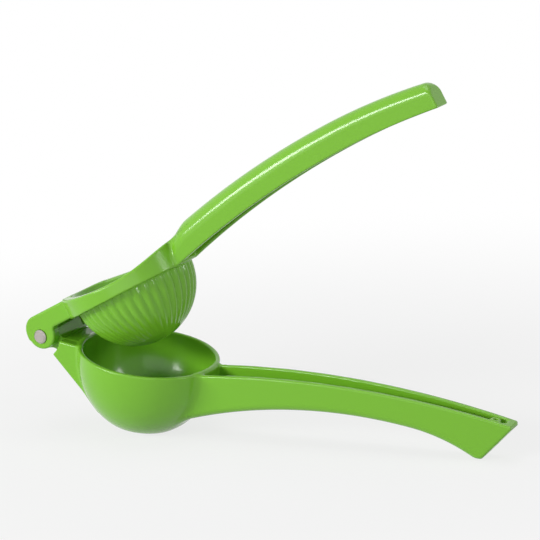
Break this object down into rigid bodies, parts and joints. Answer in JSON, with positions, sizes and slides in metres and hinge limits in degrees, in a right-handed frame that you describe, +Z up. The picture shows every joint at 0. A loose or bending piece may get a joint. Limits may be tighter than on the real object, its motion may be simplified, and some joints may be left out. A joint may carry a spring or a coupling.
{
  "type": "hinged citrus squeezer",
  "caption": "Two-arm hinged citrus press: a slotted bowl on the lower arm, a fluted hollow press on the upper arm, curved channel handles and a steel hinge pin.",
  "frame": {"origin": "middle of the bounding box at the height of the table, with the arms open at the picture's angle and the object standing on the front edge of the bowl's foot and on the lower corner of its lower handle", "axes": "+X towards the handles' ends, +Y across the handles, +Z up; the hinge's axis is along Y"},
  "size_m": [0.2155, 0.0602, 0.1495],
  "materials": {
    "enamel": "gloss green enamel on cast aluminium",
    "pin_steel": "plain turned stainless steel"
  },
  "bodies": {
    "lower": {"lower_arm": "enamel"},
    "upper": {"upper_arm": "enamel", "hinge_pin": "pin_steel"}
  },
  "joints": [
    {"name": "arm_hinge", "type": "hinge", "parent": "lower", "child": "upper", "pos_m": [-0.09983, 0, 0.04208], "axis": [0, -1, 0], "range_deg": [-35.4, 143.2]}
  ]
}
